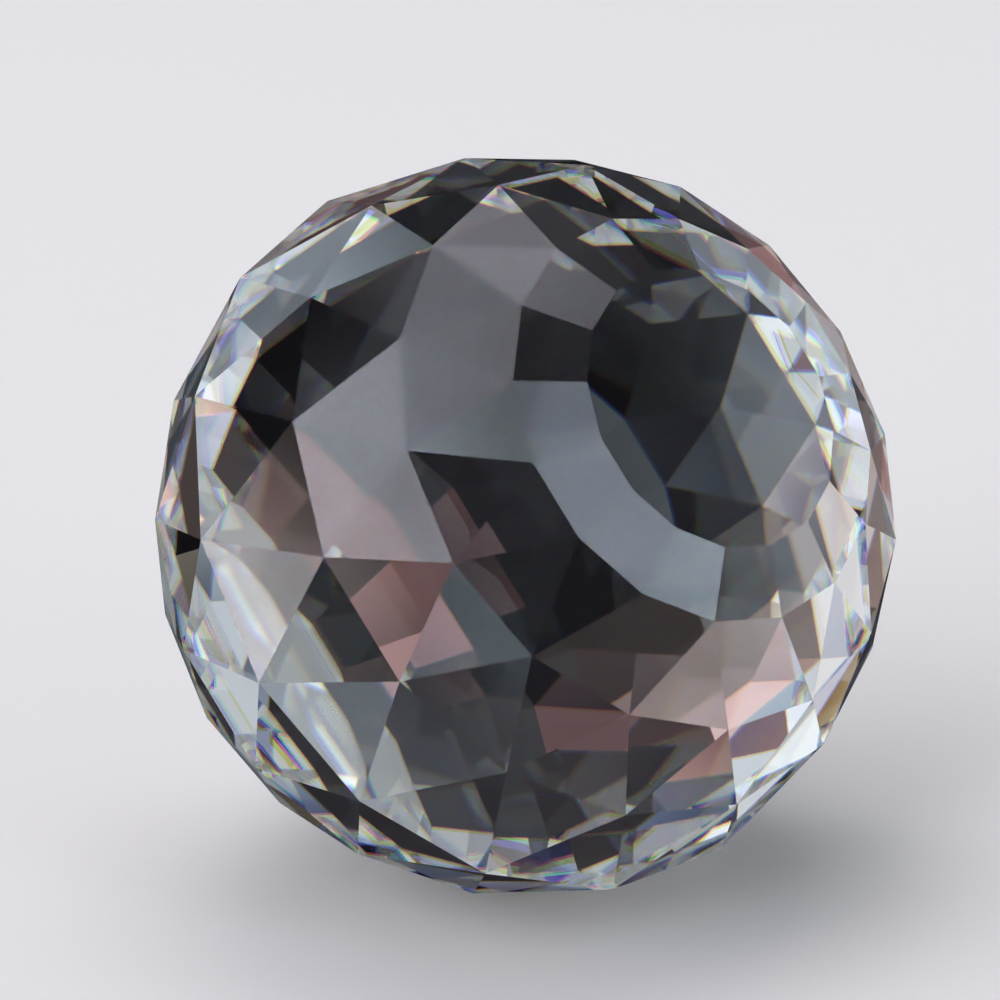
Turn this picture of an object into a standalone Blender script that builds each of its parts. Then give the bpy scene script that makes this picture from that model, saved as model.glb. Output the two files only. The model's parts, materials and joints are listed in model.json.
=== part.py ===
"""Crystal suncatcher: a solid ball of clear optical crystal, cut all over
with flat facets, lying on one of them with its table turned up and forward.

The cut is worked out on an upright axis, from table to table, and the whole
ball is then rolled onto the facet that carries it. Metres, +Z up, origin on
the ground under the ball's centre, table leaning towards -Y.
"""

import math

import bmesh
import bpy
from mathutils import Matrix, Vector

# Sizes of the finished ball: across opposite corners, and between its two tables
BALL_DIAMETER = 0.080
TABLE_DIAMETER = 0.030
BALL_HEIGHT = 0.069

# Facets in each ring round the axis
FACETS_AROUND = 16

# Rings of corners between a table and the girdle. Each has its share of the
# way out from the table's corners to the girdle's, its share of the way down
# from the table to the girdle, and its turn in steps of one facet
COLLAR = {"share_out": 0.273, "share_down": 0.080, "turned_steps": 0.0}
CROWN = {"share_out": 0.620, "share_down": 0.289, "turned_steps": 0.5}
SHOULDER = {"share_out": 0.857, "share_down": 0.587, "turned_steps": 0.0}

# The two rings at the ends of that scale
TABLE = {"share_out": 0.0, "share_down": 0.0, "turned_steps": 0.0}
GIRDLE = {"share_out": 1.0, "share_down": 1.0, "turned_steps": 0.5}

# Two facets that meet within this angle are one flat facet
FLAT_WITHIN = math.radians(0.05)

UPPER = 1
LOWER = -1


def corner(ring, half, step):
    """One facet corner: a ring, the half of the ball it is on and its place round."""
    table_radius = TABLE_DIAMETER / 2
    radius = table_radius + ring["share_out"] * (BALL_DIAMETER / 2 - table_radius)
    height = half * BALL_HEIGHT / 2 * (1 - ring["share_down"])
    angle = math.tau * (step + ring["turned_steps"]) / FACETS_AROUND
    return Vector((radius * math.cos(angle), radius * math.sin(angle), height))


def cut_corners():
    """Every corner of the cut; the halves mirror each other and share the girdle."""
    rings = [(GIRDLE, UPPER)]
    for ring in (TABLE, COLLAR, CROWN, SHOULDER):
        rings.append((ring, UPPER))
        rings.append((ring, LOWER))
    return [corner(ring, half, step) for ring, half in rings for step in range(FACETS_AROUND)]


def cut_mesh():
    """The flat skin over all the corners, with each facet as one face."""
    bm = bmesh.new()
    for point in cut_corners():
        bm.verts.new(point)
    bmesh.ops.convex_hull(bm, input=list(bm.verts))
    bmesh.ops.dissolve_limit(bm, angle_limit=FLAT_WITHIN, verts=list(bm.verts), edges=list(bm.edges))
    bmesh.ops.recalc_face_normals(bm, faces=list(bm.faces))
    mesh = bpy.data.meshes.new("crystal_ball")
    bm.to_mesh(mesh)
    bm.free()
    return mesh


def resting_facet():
    """Outward direction of the facet that lies on the ground, and its depth from the centre."""
    left = corner(CROWN, LOWER, -1)
    right = corner(CROWN, LOWER, 0)
    top = corner(SHOULDER, LOWER, 0)
    outward = (right - left).cross(top - left).normalized()
    if outward.dot(top) < 0:
        outward.negate()
    return outward, outward.dot(top)


def resting_turn():
    """Turns the upright cut so that the resting facet faces down and the table forward."""
    down, _ = resting_facet()
    up = -down
    axis = Vector((0, 0, 1))
    back = (axis.dot(up) * up - axis).normalized()
    return Matrix((back.cross(up), back, up))


def crystal_material():
    """Clear, colourless, polished optical crystal."""
    material = bpy.data.materials.new("clear_crystal")
    material.use_nodes = True
    shader = material.node_tree.nodes["Principled BSDF"]
    shader.inputs["Base Color"].default_value = (0.96, 0.97, 0.98, 1)
    shader.inputs["Metallic"].default_value = 0
    shader.inputs["Roughness"].default_value = 0.01
    shader.inputs["IOR"].default_value = 1.52
    shader.inputs["Transmission Weight"].default_value = 1
    return material


def crystal_ball(collection):
    """The ball, rolled onto its resting facet."""
    ball = bpy.data.objects.new("crystal_ball", cut_mesh())
    ball.data.materials.append(crystal_material())
    ball.rotation_euler = resting_turn().to_euler()
    _, depth = resting_facet()
    ball.location = (0, 0, depth)
    collection.objects.link(ball)


def main():
    for old in list(bpy.data.objects):
        bpy.data.objects.remove(old)
    collection = bpy.data.collections.new("crystal_suncatcher")
    bpy.context.scene.collection.children.link(collection)
    crystal_ball(collection)


main()
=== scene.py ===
# %% [markdown]
# # A cut-crystal ball, lit for its facets
#
# The real object is one solid piece of clear optical crystal, ground into a
# ball of flat facets and polished. Nothing on it is painted or coloured, so
# everything that the eye reads as "crystal" is light: soft boxes mirrored in
# single facets, the room seen upside down through it, and thin rainbow edges.
# This lesson builds the ball from its cutting rule, gives it a glass that
# splits colours, and paints the light of a small studio on a dome round it.
#
# The first cell reads the solid model's frame. Its two tables give the ball's
# centre, the axis that it was cut round and its height.

# %% The frame
import json
import math

import bmesh
import bpy
from mathutils import Matrix, Vector


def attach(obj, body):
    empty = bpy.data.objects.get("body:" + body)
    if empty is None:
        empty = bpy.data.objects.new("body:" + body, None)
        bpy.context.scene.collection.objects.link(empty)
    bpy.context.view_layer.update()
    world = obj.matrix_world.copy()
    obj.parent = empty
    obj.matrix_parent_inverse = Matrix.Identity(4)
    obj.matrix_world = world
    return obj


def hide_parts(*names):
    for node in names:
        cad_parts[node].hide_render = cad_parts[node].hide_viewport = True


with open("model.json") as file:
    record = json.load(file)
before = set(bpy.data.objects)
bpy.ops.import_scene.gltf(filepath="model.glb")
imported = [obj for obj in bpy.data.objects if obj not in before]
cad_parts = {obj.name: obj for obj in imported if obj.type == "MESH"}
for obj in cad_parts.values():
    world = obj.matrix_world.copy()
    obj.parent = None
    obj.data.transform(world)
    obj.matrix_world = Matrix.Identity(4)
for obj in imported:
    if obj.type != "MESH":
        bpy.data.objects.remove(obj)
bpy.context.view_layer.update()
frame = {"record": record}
mounts = {mount["name"]: mount for mount in frame["record"]["mounts"]}
front_table = Vector(mounts["front_table"]["pos_m"])
back_table = Vector(mounts["back_table"]["pos_m"])
BALL_CENTRE = (front_table + back_table) / 2
CUT_AXIS = (front_table - back_table).normalized()
BALL_HEIGHT = (front_table - back_table).length
print("ball centre", tuple(round(c, 5) for c in BALL_CENTRE), "height", round(BALL_HEIGHT, 5))

# %% [markdown]
# ## The cut
#
# A cutter describes this ball by rings of corners round one axis. A table, the
# big flat facet, closes each end, and the girdle is the widest ring, halfway
# between them. The first ring outside a table is in step with the table's
# corners, so four-sided facets join the two. Each ring after that is turned by
# half a facet against the one before, and flat triangles join the two. The
# sizes below are the same driving sizes as the solid model's.

# %% Sizes of the cut, in metres and in shares of the way from table to girdle
BALL_DIAMETER = 0.080
TABLE_DIAMETER = 0.030
FACETS_AROUND = 16
RINGS = {
    "table": {"out": 0.0, "down": 0.0, "turned": 0.0},
    "collar": {"out": 0.273, "down": 0.080, "turned": 0.0},
    "crown": {"out": 0.620, "down": 0.289, "turned": 0.5},
    "shoulder": {"out": 0.857, "down": 0.587, "turned": 0.0},
    "girdle": {"out": 1.0, "down": 1.0, "turned": 0.5},
}
CORNER_REACH = 0.00008
FLAT_WITHIN = math.radians(0.05)

ring_count = 2 * len(RINGS) - 1
print("rings of corners", ring_count, "corners", ring_count * FACETS_AROUND)

# %% [markdown]
# ## Sums as nodes
#
# Both the shape and the materials need sums on sockets. A small class holds one
# output socket and turns +, -, * and / into Math nodes, so a rule reads as it
# would on paper. Other Math nodes, such as a comparison, are made by name, and
# mix blends two colours by the value of the socket.

# %% A socket that can be added and multiplied
class Socket:
    """One output socket of a node tree, with arithmetic."""

    def __init__(self, tree, output):
        self.tree = tree
        self.output = output

    def math(self, operation, *values):
        """A Math node of this tree with the given operation and values."""
        node = self.tree.nodes.new("ShaderNodeMath")
        node.operation = operation
        for slot, value in zip(node.inputs, values):
            plug(self.tree, slot, value)
        return Socket(self.tree, node.outputs[0])

    def mix(self, low, high):
        """The colour low where this is 0 and high where it is 1."""
        node = self.tree.nodes.new("ShaderNodeMix")
        node.data_type = "RGBA"
        plug(self.tree, node.inputs["Factor"], self)
        for name, colour in (("A", low), ("B", high)):
            slot = next(s for s in node.inputs if s.name == name and s.type == "RGBA")
            plug(self.tree, slot, colour if isinstance(colour, Socket) else (*colour, 1))
        return Socket(self.tree, next(s for s in node.outputs if s.type == "RGBA"))

    def __add__(self, other):
        return self.math("ADD", self, other)

    def __sub__(self, other):
        return self.math("SUBTRACT", self, other)

    def __mul__(self, other):
        return self.math("MULTIPLY", self, other)

    def __truediv__(self, other):
        return self.math("DIVIDE", self, other)

    def __rtruediv__(self, other):
        return self.math("DIVIDE", other, self)


def plug(tree, slot, value):
    """Links a socket or sets a plain value."""
    if isinstance(value, Socket):
        tree.links.new(value.output, slot)
    else:
        slot.default_value = value


def add_node(tree, kind, settings=None, **values):
    """A node with its settings made first, then the values or links of its sockets."""
    node = tree.nodes.new(kind)
    for name, setting in (settings or {}).items():
        setattr(node, name, setting)
    for name, value in values.items():
        plug(tree, node.inputs[name.replace("_", " ")], value)
    return node


# %% [markdown]
# ## The camera
#
# The photograph looks down at the ball by about 17 degrees through a long lens,
# from about 41 degrees to the left of the way that the front table faces. The
# camera is placed by those angles, by its own small tilt, and by where the
# ball's centre falls in the picture.

# %% Camera at the photograph's viewing angle
PICTURE = 1000
SENSOR = 36.0
LENS_IN_PIXELS = 4288
CENTRE_PIXEL = (524.1, 524.5)
CAMERA_HEADING = math.radians(40.58)
CAMERA_DIP = math.radians(16.98)
CAMERA_ROLL = math.radians(-2.04)
CAMERA_DISTANCE = 0.4522

turn = (
    Matrix.Rotation(-CAMERA_HEADING, 3, "Z")
    @ Matrix.Rotation(math.pi / 2 - CAMERA_DIP, 3, "X")
    @ Matrix.Rotation(CAMERA_ROLL, 3, "Z")
)
aside = (CENTRE_PIXEL[0] - PICTURE / 2) / LENS_IN_PIXELS * CAMERA_DISTANCE
below = (CENTRE_PIXEL[1] - PICTURE / 2) / LENS_IN_PIXELS * CAMERA_DISTANCE
camera_data = bpy.data.cameras.new("photo_camera")
camera_data.sensor_width = SENSOR
camera_data.lens = LENS_IN_PIXELS * SENSOR / PICTURE
camera = bpy.data.objects.new("photo_camera", camera_data)
camera_place = BALL_CENTRE - turn @ Vector((aside, -below, -CAMERA_DISTANCE))
camera.matrix_world = Matrix.Translation(camera_place) @ turn.to_4x4()
bpy.context.scene.collection.objects.link(camera)
bpy.context.scene.camera = camera
print("camera at", tuple(round(c, 4) for c in camera.matrix_world.translation))

# %% [markdown]
# ## The ball, from its rule
#
# Every corner lies on a ring, so the shape is a list of circles and the skin
# stretched over them. Geometry Nodes do that directly: a Mesh Circle for each
# ring, joined, and a Convex Hull. The tree's inputs are the driving sizes, so a
# bigger table or a 12-sided cut is one number away.

# %% The node tree of the cut
def ring_circle(tree, sizes, ring, half):
    """One ring of corners at its own radius, height and turn; half is 1 above, -1 below."""
    table_radius = sizes["Table diameter"] / 2
    radius = table_radius + (sizes["Ball diameter"] / 2 - table_radius) * ring["out"]
    height = sizes["Ball height"] * (half * (1 - ring["down"]) / 2)
    angle = math.tau * ring["turned"] / sizes["Facets around"]
    circle = add_node(tree, "GeometryNodeMeshCircle", Vertices=sizes["Facets around"], Radius=radius)
    place = add_node(tree, "ShaderNodeCombineXYZ", Z=height)
    spin = add_node(tree, "ShaderNodeCombineXYZ", Z=angle)
    move = add_node(
        tree, "GeometryNodeTransform",
        Geometry=Socket(tree, circle.outputs[0]),
        Translation=Socket(tree, place.outputs[0]),
        Rotation=Socket(tree, spin.outputs[0]),
    )
    return move.outputs[0]


def cut_tree():
    """The rings of corners as circles, and a skin stretched over them."""
    tree = bpy.data.node_groups.new("ball_cut", "GeometryNodeTree")
    wanted = (
        ("Ball diameter", "NodeSocketFloat", BALL_DIAMETER),
        ("Table diameter", "NodeSocketFloat", TABLE_DIAMETER),
        ("Ball height", "NodeSocketFloat", BALL_HEIGHT),
        ("Facets around", "NodeSocketInt", FACETS_AROUND),
    )
    for name, kind, value in wanted:
        entry = tree.interface.new_socket(name, in_out="INPUT", socket_type=kind)
        entry.default_value = value
    tree.interface.new_socket("Ball", in_out="OUTPUT", socket_type="NodeSocketGeometry")
    source = tree.nodes.new("NodeGroupInput")
    sizes = {name: Socket(tree, source.outputs[name]) for name, _, _ in wanted}
    join = tree.nodes.new("GeometryNodeJoinGeometry")
    for name, ring in RINGS.items():
        for half in (1,) if name == "girdle" else (1, -1):
            tree.links.new(ring_circle(tree, sizes, ring, half), join.inputs[0])
    hull = add_node(tree, "GeometryNodeConvexHull", Geometry=Socket(tree, join.outputs[0]))
    sink = tree.nodes.new("NodeGroupOutput")
    tree.links.new(hull.outputs[0], sink.inputs[0])
    return tree


# %% [markdown]
# ## The roll onto the resting facet
#
# The tree makes the ball upright. Its real pose follows from two directions of
# the frame: the axis between the tables, and straight down, which is the way
# that the resting facet faces.

# %% Where the upright ball goes
def resting_pose():
    """The place of the upright cut in the scene, its first corners turned towards the ground."""
    down = Vector((0, 0, -1))
    first_corner = (down - down.dot(CUT_AXIS) * CUT_AXIS).normalized()
    across = CUT_AXIS.cross(first_corner)
    basis = Matrix((first_corner, across, CUT_AXIS)).transposed()
    return Matrix.Translation(BALL_CENTRE) @ basis.to_4x4()


# %% [markdown]
# ## Polished corners
#
# The facets of a well cut ball meet in edges too fine to see, but where several
# of them come together in a corner, the polishing lap wears the point a little.
# Each corner ends in a facet about a sixth of a millimetre wide, which shows as
# a tiny spark. They are real faces here, made by a bevel on the corners once
# triangles that lie in one plane are joined.

# %% The finished mesh of the ball
def finished_ball(material):
    """Evaluates the cut, joins flat facets, eases the corners and puts the ball in its place."""
    rough = bpy.data.objects.new("rough_ball", bpy.data.meshes.new("rough_ball"))
    bpy.context.scene.collection.objects.link(rough)
    modifier = rough.modifiers.new("cut", "NODES")
    modifier.node_group = cut_tree()
    evaluated = rough.evaluated_get(bpy.context.evaluated_depsgraph_get())
    mesh = bpy.data.meshes.new_from_object(evaluated)
    bpy.data.objects.remove(rough)
    mesh.name = "crystal"
    bm = bmesh.new()
    bm.from_mesh(mesh)
    bmesh.ops.dissolve_limit(bm, angle_limit=FLAT_WITHIN, verts=list(bm.verts), edges=list(bm.edges))
    print("facets", len(bm.faces))
    bmesh.ops.bevel(
        bm, geom=list(bm.verts), offset=CORNER_REACH, offset_type="OFFSET", affect="VERTICES",
        segments=1, profile=0.5, clamp_overlap=True,
    )
    bm.transform(resting_pose())
    bmesh.ops.recalc_face_normals(bm, faces=list(bm.faces))
    bm.to_mesh(mesh)
    bm.free()
    mesh.materials.clear()
    mesh.materials.append(material)
    ball = bpy.data.objects.new("crystal", mesh)
    bpy.context.scene.collection.objects.link(ball)
    return ball


# %% [markdown]
# ## Clear crystal
#
# Optical crystal bends light strongly and spreads its colours. The glass itself
# is a plain Principled shader with a faint bump, because a facet polished on a
# lap is never quite flat: its waves are a few micrometres high, and they bend
# the edges of what the facet mirrors. For the first look into the ball, three
# glasses of slightly different strength carry red, green and blue. Glass
# spreads blue more than red, so green stays nearer to red, and the rainbow
# edges turn out blue on one side and yellow on the other.
#
# Light can run round inside a cut ball for dozens of walls. Each wall splits it
# again, so the deepest paths only add coloured specks. Here a path that has
# met five walls inside the ball ends at the next one, and glows there with a
# calm painted light that stands for the room's light, painted on each facet further below.

# %% The crystal's material
CRYSTAL_TINT = (0.985, 0.993, 1.0, 1)
CRYSTAL_IOR = 1.52
COLOUR_SPREAD = 0.010
WALLS_FOLLOWED = 5
WAVES_PER_METRE = 90
WAVE_HEIGHT = 0.000008
PURE = 2.1
REST = 0.45
COLOURED_GLASSES = {
    "red": ((PURE, REST, REST, 1), CRYSTAL_IOR - COLOUR_SPREAD),
    "green": ((REST, PURE, REST, 1), CRYSTAL_IOR - COLOUR_SPREAD / 3),
    "blue": ((REST, REST, PURE, 1), CRYSTAL_IOR + COLOUR_SPREAD),
}


def mixed(tree, share, first, second):
    """Two shaders mixed by a share of the second."""
    mix = add_node(tree, "ShaderNodeMixShader", Fac=share)
    tree.links.new(first, mix.inputs[1])
    tree.links.new(second, mix.inputs[2])
    return mix.outputs[0]


def polish_waves(tree):
    """The normal of a facet polished on a lap: flat, but for waves of a few micrometres."""
    place = Socket(tree, tree.nodes.new("ShaderNodeTexCoord").outputs["Object"])
    waves = add_node(tree, "ShaderNodeTexNoise", Vector=place, Scale=WAVES_PER_METRE, Detail=1.0)
    bump = add_node(
        tree, "ShaderNodeBump", Strength=1.0, Distance=WAVE_HEIGHT, Height=Socket(tree, waves.outputs[0])
    )
    return Socket(tree, bump.outputs[0])


def split_glass(tree, polish):
    """Red, green and blue light, each through a glass of its own strength."""
    parts = {}
    for name, (colour, strength) in COLOURED_GLASSES.items():
        part = add_node(
            tree, "ShaderNodeBsdfGlass", Color=colour, Roughness=0.0, IOR=strength, Normal=polish
        )
        parts[name] = part.outputs[0]
    red_and_green = mixed(tree, 1 / 2, parts["red"], parts["green"])
    return mixed(tree, 1 / 3, red_and_green, parts["blue"])


def crystal_material():
    """Polished glass that splits colours at the first wall; the deepest paths end in a painted glow of
    room light.
    """
    material = bpy.data.materials.new("clear_crystal")
    material.use_nodes = True
    tree = material.node_tree
    tree.nodes.clear()
    polish = polish_waves(tree)
    glass = add_node(
        tree, "ShaderNodeBsdfPrincipled",
        Base_Color=CRYSTAL_TINT, Metallic=0, Roughness=0.0, IOR=CRYSTAL_IOR, Transmission_Weight=1,
        Normal=polish,
    )
    path = tree.nodes.new("ShaderNodeLightPath")
    first_wall = Socket(tree, path.outputs["Is Camera Ray"])
    depth = Socket(tree, path.outputs["Ray Depth"])
    too_deep = depth.math("GREATER_THAN", depth, WALLS_FOLLOWED + 0.5)
    # painted light: facets glow with a stand-in for the room light that the deepest paths would gather
    painted_room_glow = add_node(tree, "ShaderNodeAttribute", {"attribute_name": "deep_light"})
    deep = add_node(tree, "ShaderNodeEmission", Color=Socket(tree, painted_room_glow.outputs["Color"]))
    clear = mixed(tree, first_wall, glass.outputs[0], split_glass(tree, polish))
    output = tree.nodes.new("ShaderNodeOutputMaterial")
    tree.links.new(mixed(tree, too_deep, clear, deep.outputs[0]), output.inputs[0])
    material.cycles.emission_sampling = "NONE"
    return material


# %% [markdown]
# ## The ball in the scene
#
# The finished ball rides on the part's only body, has its only material slot
# and stands for the solid model's only node.

# %% The ball, dressed
crystal = finished_ball(crystal_material())
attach(crystal, "root")
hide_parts("crystal_ball")
print("triangles", sum(len(face.vertices) - 2 for face in crystal.data.polygons))

# %% [markdown]
# ## The floor
#
# A plain pale floor carries the ball. The camera sees it, and the ball's shadow
# falls on it, but the crystal doesn't see it. Clear glass on a pale floor turns
# pale all over, so what a facet shows of its surroundings is settled below, by
# a dome with dark cloth and soft boxes on it.

# %% Pale floor
FLOOR_SIZE = 6.0
FLOOR_DROP = 0.0002
FLOOR_TONE = (0.44, 0.436, 0.408, 1)
FLOOR_ROUGHNESS = 0.85


def floor_material():
    """Matt, pale and without shine."""
    material = bpy.data.materials.new("pale_floor")
    material.use_nodes = True
    shader = material.node_tree.nodes["Principled BSDF"]
    shader.inputs["Base Color"].default_value = FLOOR_TONE
    shader.inputs["Roughness"].default_value = FLOOR_ROUGHNESS
    shader.inputs["Specular IOR Level"].default_value = 0
    return material


bpy.ops.mesh.primitive_plane_add(size=FLOOR_SIZE, location=(0, 0, -FLOOR_DROP))
floor = bpy.context.object
floor.name = "floor"
floor.data.materials.append(floor_material())
floor.visible_transmission = False
floor.visible_glossy = False
print("floor", FLOOR_SIZE, "m wide, its top", FLOOR_DROP * 1000, "mm under the ball")

# %% [markdown]
# ## The room that the facets show
#
# Cut crystal has no colour of its own. Each facet shows one small patch of the
# room, mirrored or bent, so the room decides which facets are dark and which
# flash. The way to shoot clear glass is an old one: dark cloth behind it, so
# that its middle stays deep and clear, and soft boxes round its sides, so that
# its rim and its facets draw themselves. Dozens of lamps would be slow to trace
# and hard to keep apart, so the whole room is one large dome of cloth, with
# the light painted on it. A direction is given as the angle round the ball
# from the camera, to the right, and the angle up from the floor.

# %% Directions in the studio
def studio_direction(round_ball, up):
    """World direction at an angle round the ball from the camera, and up from the floor."""
    heading = -CAMERA_HEADING + math.radians(round_ball)
    level = Vector((math.sin(heading), -math.cos(heading), 0))
    return level * math.cos(math.radians(up)) + Vector((0, 0, math.sin(math.radians(up))))


# %% [markdown]
# ## Soft boxes
#
# Each box is a rectangle of light: where it is, how wide and high it is, how
# far it is turned, how bright it is and its tint. The large ones above and to
# the left make the grey veil over the upper facets, and the narrow ones on the
# right make the lighter ring round the table. The warm ones, low beside and
# behind the ball, reach its lower facets through the glass. The rows run from
# the box that gives the most light to the one that gives the least.

# %% The boxes: round, up, width, height and turn in degrees, brightness, tint
DAYLIGHT = (0.88, 1.02, 1.16)
LILAC = (1.03, 0.97, 1.09)
VIOLET = (0.97, 0.975, 1.20)
PEACH = (1.22, 0.96, 0.88)
ROSE = (1.60, 0.80, 0.80)
BOXES = [
    (-78, 71, 89, 38, -27, 1.54, LILAC),
    (-65, 30, 59, 22, -20, 3.92, LILAC),
    (95, 4, 27, 75, -24, 1.83, DAYLIGHT),
    (-74, -2, 61, 24, 3, 2.46, PEACH),
    (76, 9, 40, 17, 10, 3.46, DAYLIGHT),
    (-29, 27, 14, 46, -18, 3.38, DAYLIGHT),
    (-76, -38, 19, 59, 27, 1.76, DAYLIGHT),
    (-35, 32, 24, 52, 27, 1.42, VIOLET),
    (-135, 28, 11, 30, 22, 5.03, DAYLIGHT),
    (146, 77, 37, 26, 8, 1.51, LILAC),
    (40, 16, 11, 43, 9, 2.55, VIOLET),
    (-29, 89, 46, 88, 17, 0.27, LILAC),
    (-90, -18, 20, 55, -31, 0.96, DAYLIGHT),
    (136, 16, 15, 45, 2, 1.45, DAYLIGHT),
    (-74, 28, 23, 50, 24, 0.77, DAYLIGHT),
    (54, 5, 8, 54, -37, 1.90, VIOLET),
    (54, -50, 8, 49, -14, 2.09, PEACH),
    (-35, 60, 12, 54, 25, 1.19, VIOLET),
    (49, -29, 47, 29, 0, 0.53, PEACH),
    (41, 38, 7, 52, 22, 1.75, VIOLET),
    (-143, 15, 10, 46, 33, 1.30, DAYLIGHT),
    (29, 35, 23, 60, 25, 0.43, DAYLIGHT),
    (44, 24, 13, 56, -2, 0.70, VIOLET),
    (-16, -30, 7, 32, 17, 2.05, DAYLIGHT),
    (-132, -2, 13, 38, 23, 0.73, PEACH),
    (-45, 76, 50, 16, 0, 0.45, LILAC),
    (-3, -5, 21, 54, 36, 0.28, DAYLIGHT),
    (-132, -7, 67, 22, -25, 0.20, PEACH),
    (97, 68, 34, 18, 0, 0.42, LILAC),
    (-8, 24, 24, 36, 0, 0.20, VIOLET),
    (-74, 43, 18, 12, 0, 0.60, LILAC),
    (-125, -33, 59, 13, -15, 0.14, DAYLIGHT),
    (-156, 9, 7, 14, 19, 0.95, ROSE),
    (154, -16, 37, 7, 16, 0.11, ROSE),
    (163, -2, 9, 7, -60, 0.33, ROSE),
    (-167, -17, 8, 27, -33, 0.09, DAYLIGHT),
    (162, -22, 14, 49, 9, 0.02, DAYLIGHT),
    (-173, 5, 12, 9, -25, 0.09, ROSE),
]
HEM = 5
ROOM_BELOW = (0.005, 0.005, 0.006)
ROOM_ABOVE = (0.035, 0.033, 0.037)
HORIZON_SHARPNESS = 6
print("boxes", len(BOXES), "brightest", max(entry[5] for entry in BOXES))

# %% [markdown]
# ## Light from a direction
#
# A box covers a direction when the line from the ball that way meets its
# rectangle, and its hem is soft over five degrees. Boxes that overlap add up.
# Between them the cloth is almost black below the height of the ball's middle,
# and a dark grey above it.

# %% How much light comes from a direction
def smooth(share):
    """0 to 1 with a soft start and end."""
    share = min(max(share, 0), 1)
    return share * share * (3 - 2 * share)


def placed_box(entry):
    """A box as its three directions, half its width and half its height, and its colour."""
    round_ball, up, width, height, turned, brightness, tint = entry
    level, upright = studio_direction(round_ball + 90, 0), studio_direction(round_ball, up + 90)
    lean = math.radians(turned)
    return (
        studio_direction(round_ball, up),
        level * math.cos(lean) + upright * math.sin(lean),
        upright * math.cos(lean) - level * math.sin(lean),
        math.tan(math.radians(width / 2)),
        math.tan(math.radians(height / 2)),
        brightness * Vector(tint),
    )


BARELY_AHEAD = 0.05


def box_cover(box, direction):
    """1 inside the box, 0 outside, with a soft hem between."""
    middle, across, upwards, half_width, half_height, _ = box
    ahead = direction.dot(middle)
    if ahead < BARELY_AHEAD:
        return 0
    hem = math.tan(math.radians(HEM))
    beside = smooth((half_width - abs(direction.dot(across)) / ahead) / hem + 0.5)
    above = smooth((half_height - abs(direction.dot(upwards)) / ahead) / hem + 0.5)
    return beside * above


placed = [placed_box(entry) for entry in BOXES]


def room_light(direction):
    """Light of the room from one direction, as red, green and blue."""
    light = Vector(ROOM_BELOW) + Vector(ROOM_ABOVE) * smooth(direction.z * HORIZON_SHARPNESS + 0.5)
    for box in placed:
        light = light + box[-1] * box_cover(box, direction)
    return light


UPPER_LEFT = (-66, 30)
upper_left_light = room_light(studio_direction(*UPPER_LEFT))
print("light from the upper left", tuple(round(c, 2) for c in upper_left_light))

# %% [markdown]
# ## The dome
#
# The dome is a sphere round the ball, and each of its points carries two
# colours. The first is the full light, for facets that mirror it and for the
# floor. Most facets mirror only about a twentieth of a box's light, so the
# boxes have to be strong. Seen straight through the glass, such a box would
# burn out, so the second colour holds the bright parts back as film does, and
# serves the light that comes through the ball. The camera doesn't see the dome.

# %% A dome of cloth, painted with the light
DOME_RADIUS = 5.0
DOME_STEP = 2
SOFTENED_FROM = 0.4
SOFTENED_GAIN = 1.13
CONTRAST = 1.15


def softened(light):
    """The same light with its brightest parts held back, as it is seen through the glass."""
    held = [SOFTENED_FROM * math.log(1 + c / SOFTENED_FROM) for c in light]
    return [SOFTENED_GAIN * c ** CONTRAST for c in held]


def dome_mesh():
    """The sphere, with the light of the room painted on its points twice."""
    bm = bmesh.new()
    bmesh.ops.create_uvsphere(
        bm, u_segments=360 // DOME_STEP, v_segments=180 // DOME_STEP, radius=DOME_RADIUS
    )
    mirrored = bm.verts.layers.float_color.new("cloth_light")
    seen_through = bm.verts.layers.float_color.new("softened_light")
    for vert in bm.verts:
        light = room_light(vert.co.normalized())
        vert[mirrored] = (*light, 1)
        vert[seen_through] = (*softened(light), 1)
    mesh = bpy.data.meshes.new("light_dome")
    bm.to_mesh(mesh)
    bm.free()
    return mesh


def dome_material():
    """Glowing cloth: full light in mirrors and on the floor, softened light through the glass."""
    material = bpy.data.materials.new("light_dome")
    material.use_nodes = True
    material.cycles.emission_sampling = "NONE"
    tree = material.node_tree
    tree.nodes.clear()
    mirrored = add_node(tree, "ShaderNodeAttribute", {"attribute_name": "cloth_light"})
    seen_through = add_node(tree, "ShaderNodeAttribute", {"attribute_name": "softened_light"})
    through_glass = Socket(tree, tree.nodes.new("ShaderNodeLightPath").outputs["Is Transmission Ray"])
    light = through_glass.mix(
        Socket(tree, mirrored.outputs["Color"]), Socket(tree, seen_through.outputs["Color"])
    )
    glow = add_node(tree, "ShaderNodeEmission", Color=light)
    output = tree.nodes.new("ShaderNodeOutputMaterial")
    tree.links.new(glow.outputs[0], output.inputs[0])
    return material


dome = bpy.data.objects.new("light_dome", dome_mesh())
bpy.context.scene.collection.objects.link(dome)
dome.location = BALL_CENTRE
dome.data.materials.append(dome_material())
dome.visible_camera = False
dome.visible_shadow = False
print("points on the dome", len(dome.data.vertices))
print("a box of strength 5 seen through the glass", round(softened([5])[0], 2))

# %% [markdown]
# ## The deepest light
#
# A path that has met five walls takes the tone of the facet where it ends.
# That tone stands for the light that would have reached it from all over the
# room, so it depends on the side that the facet faces: bright on the right,
# darker on the left, and almost black for a facet that looks up.

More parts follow.
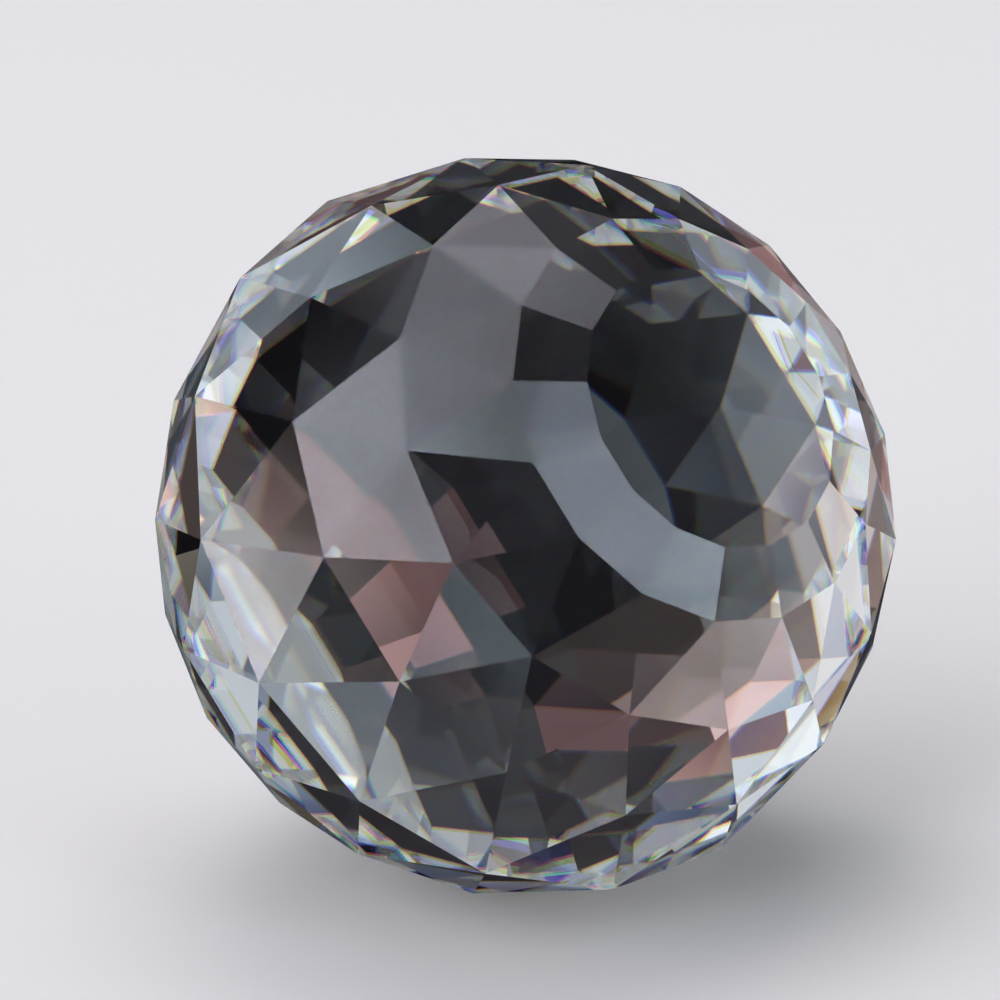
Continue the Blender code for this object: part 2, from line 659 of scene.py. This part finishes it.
# %% The light of the deepest paths, painted on the facets
DEEP_TINT = (0.94, 1.01, 1.05)
DEEP_LIGHT = {
    "right": 0.92,
    "left": 0.30,
    "behind": 0.51,
    "front": 0.29,
    "above": 0.08,
    "below": 0.24,
}
SIDES = {
    "right": (90, 0),
    "left": (-90, 0),
    "behind": (180, 0),
    "front": (0, 0),
    "above": (0, 90),
    "below": (0, -90),
}
gathered = crystal.data.attributes.new("deep_light", "FLOAT_COLOR", "FACE")
for facet in crystal.data.polygons:
    shares = {side: max(facet.normal.dot(studio_direction(*SIDES[side])), 0) ** 2 for side in SIDES}
    light = sum(DEEP_LIGHT[side] * share for side, share in shares.items())
    gathered.data[facet.index].color = (*(light * Vector(DEEP_TINT)), 1)
deep_green = [entry.color[1] for entry in gathered.data]
print("deepest light from", round(min(deep_green), 2), "to", round(max(deep_green), 2))

# %% [markdown]
# ## The floor's own light
#
# The dome lights the floor from both sides, which leaves the ball almost
# without a shadow, as if it floated. One wide lamp, high up and a little
# behind, gives it a soft shadow towards the camera. The crystal doesn't see
# the lamp.

# %% One soft lamp for the floor alone
FLOOR_LAMP_SIZE = 1.2
FLOOR_LAMP_POWER = 10
FLOOR_LAMP_DISTANCE = 1.8
FLOOR_LAMP_ROUND = 175
FLOOR_LAMP_UP = 72

lamp_way = studio_direction(FLOOR_LAMP_ROUND, FLOOR_LAMP_UP)
lamp_data = bpy.data.lights.new("floor_lamp", "AREA")
lamp_data.size = FLOOR_LAMP_SIZE
lamp_data.energy = FLOOR_LAMP_POWER
lamp = bpy.data.objects.new("floor_lamp", lamp_data)
lamp.location = BALL_CENTRE + lamp_way * FLOOR_LAMP_DISTANCE
lamp.rotation_euler = lamp_way.to_track_quat("Z", "Y").to_euler()
lamp.visible_camera = False
lamp.visible_glossy = False
lamp.visible_transmission = False
bpy.context.scene.collection.objects.link(lamp)
print("floor lamp at", tuple(round(c, 2) for c in lamp.location))

# %% [markdown]
# ## Wall and tones
#
# The dome hides the world from the ball and the floor, so the world is only
# the pale wall that a low camera sees past the floor's far edge. The tones are
# shown as they are, without a film curve, because the boxes were set for that.

# %% The pale wall that the camera sees behind the floor, and plain tones
WALL_TONE = (0.72, 0.74, 0.76, 1)
world = bpy.data.worlds.new("pale_wall")
bpy.context.scene.world = world
world.use_nodes = True
world.node_tree.nodes["Background"].inputs["Color"].default_value = WALL_TONE
bpy.context.scene.view_settings.view_transform = "Standard"
print("wall", WALL_TONE[:3], "view transform", bpy.context.scene.view_settings.view_transform)

# %% [markdown]
# ## Light paths
#
# The renderer allows more walls than the five that the glass follows, so it is
# always the glass that ends a path. A box can be much brighter than white, and
# single bright paths would show as grain, so light that has met two walls or
# more is held to three times white.

# %% Light paths for a ball of facets
PATH_WALLS = 12
BRIGHTEST_SAMPLE = 3.0

cycles = bpy.context.scene.cycles
cycles.max_bounces = PATH_WALLS
cycles.transmission_bounces = PATH_WALLS
cycles.glossy_bounces = PATH_WALLS
cycles.sample_clamp_indirect = BRIGHTEST_SAMPLE
print("paths of up to", cycles.max_bounces, "walls")
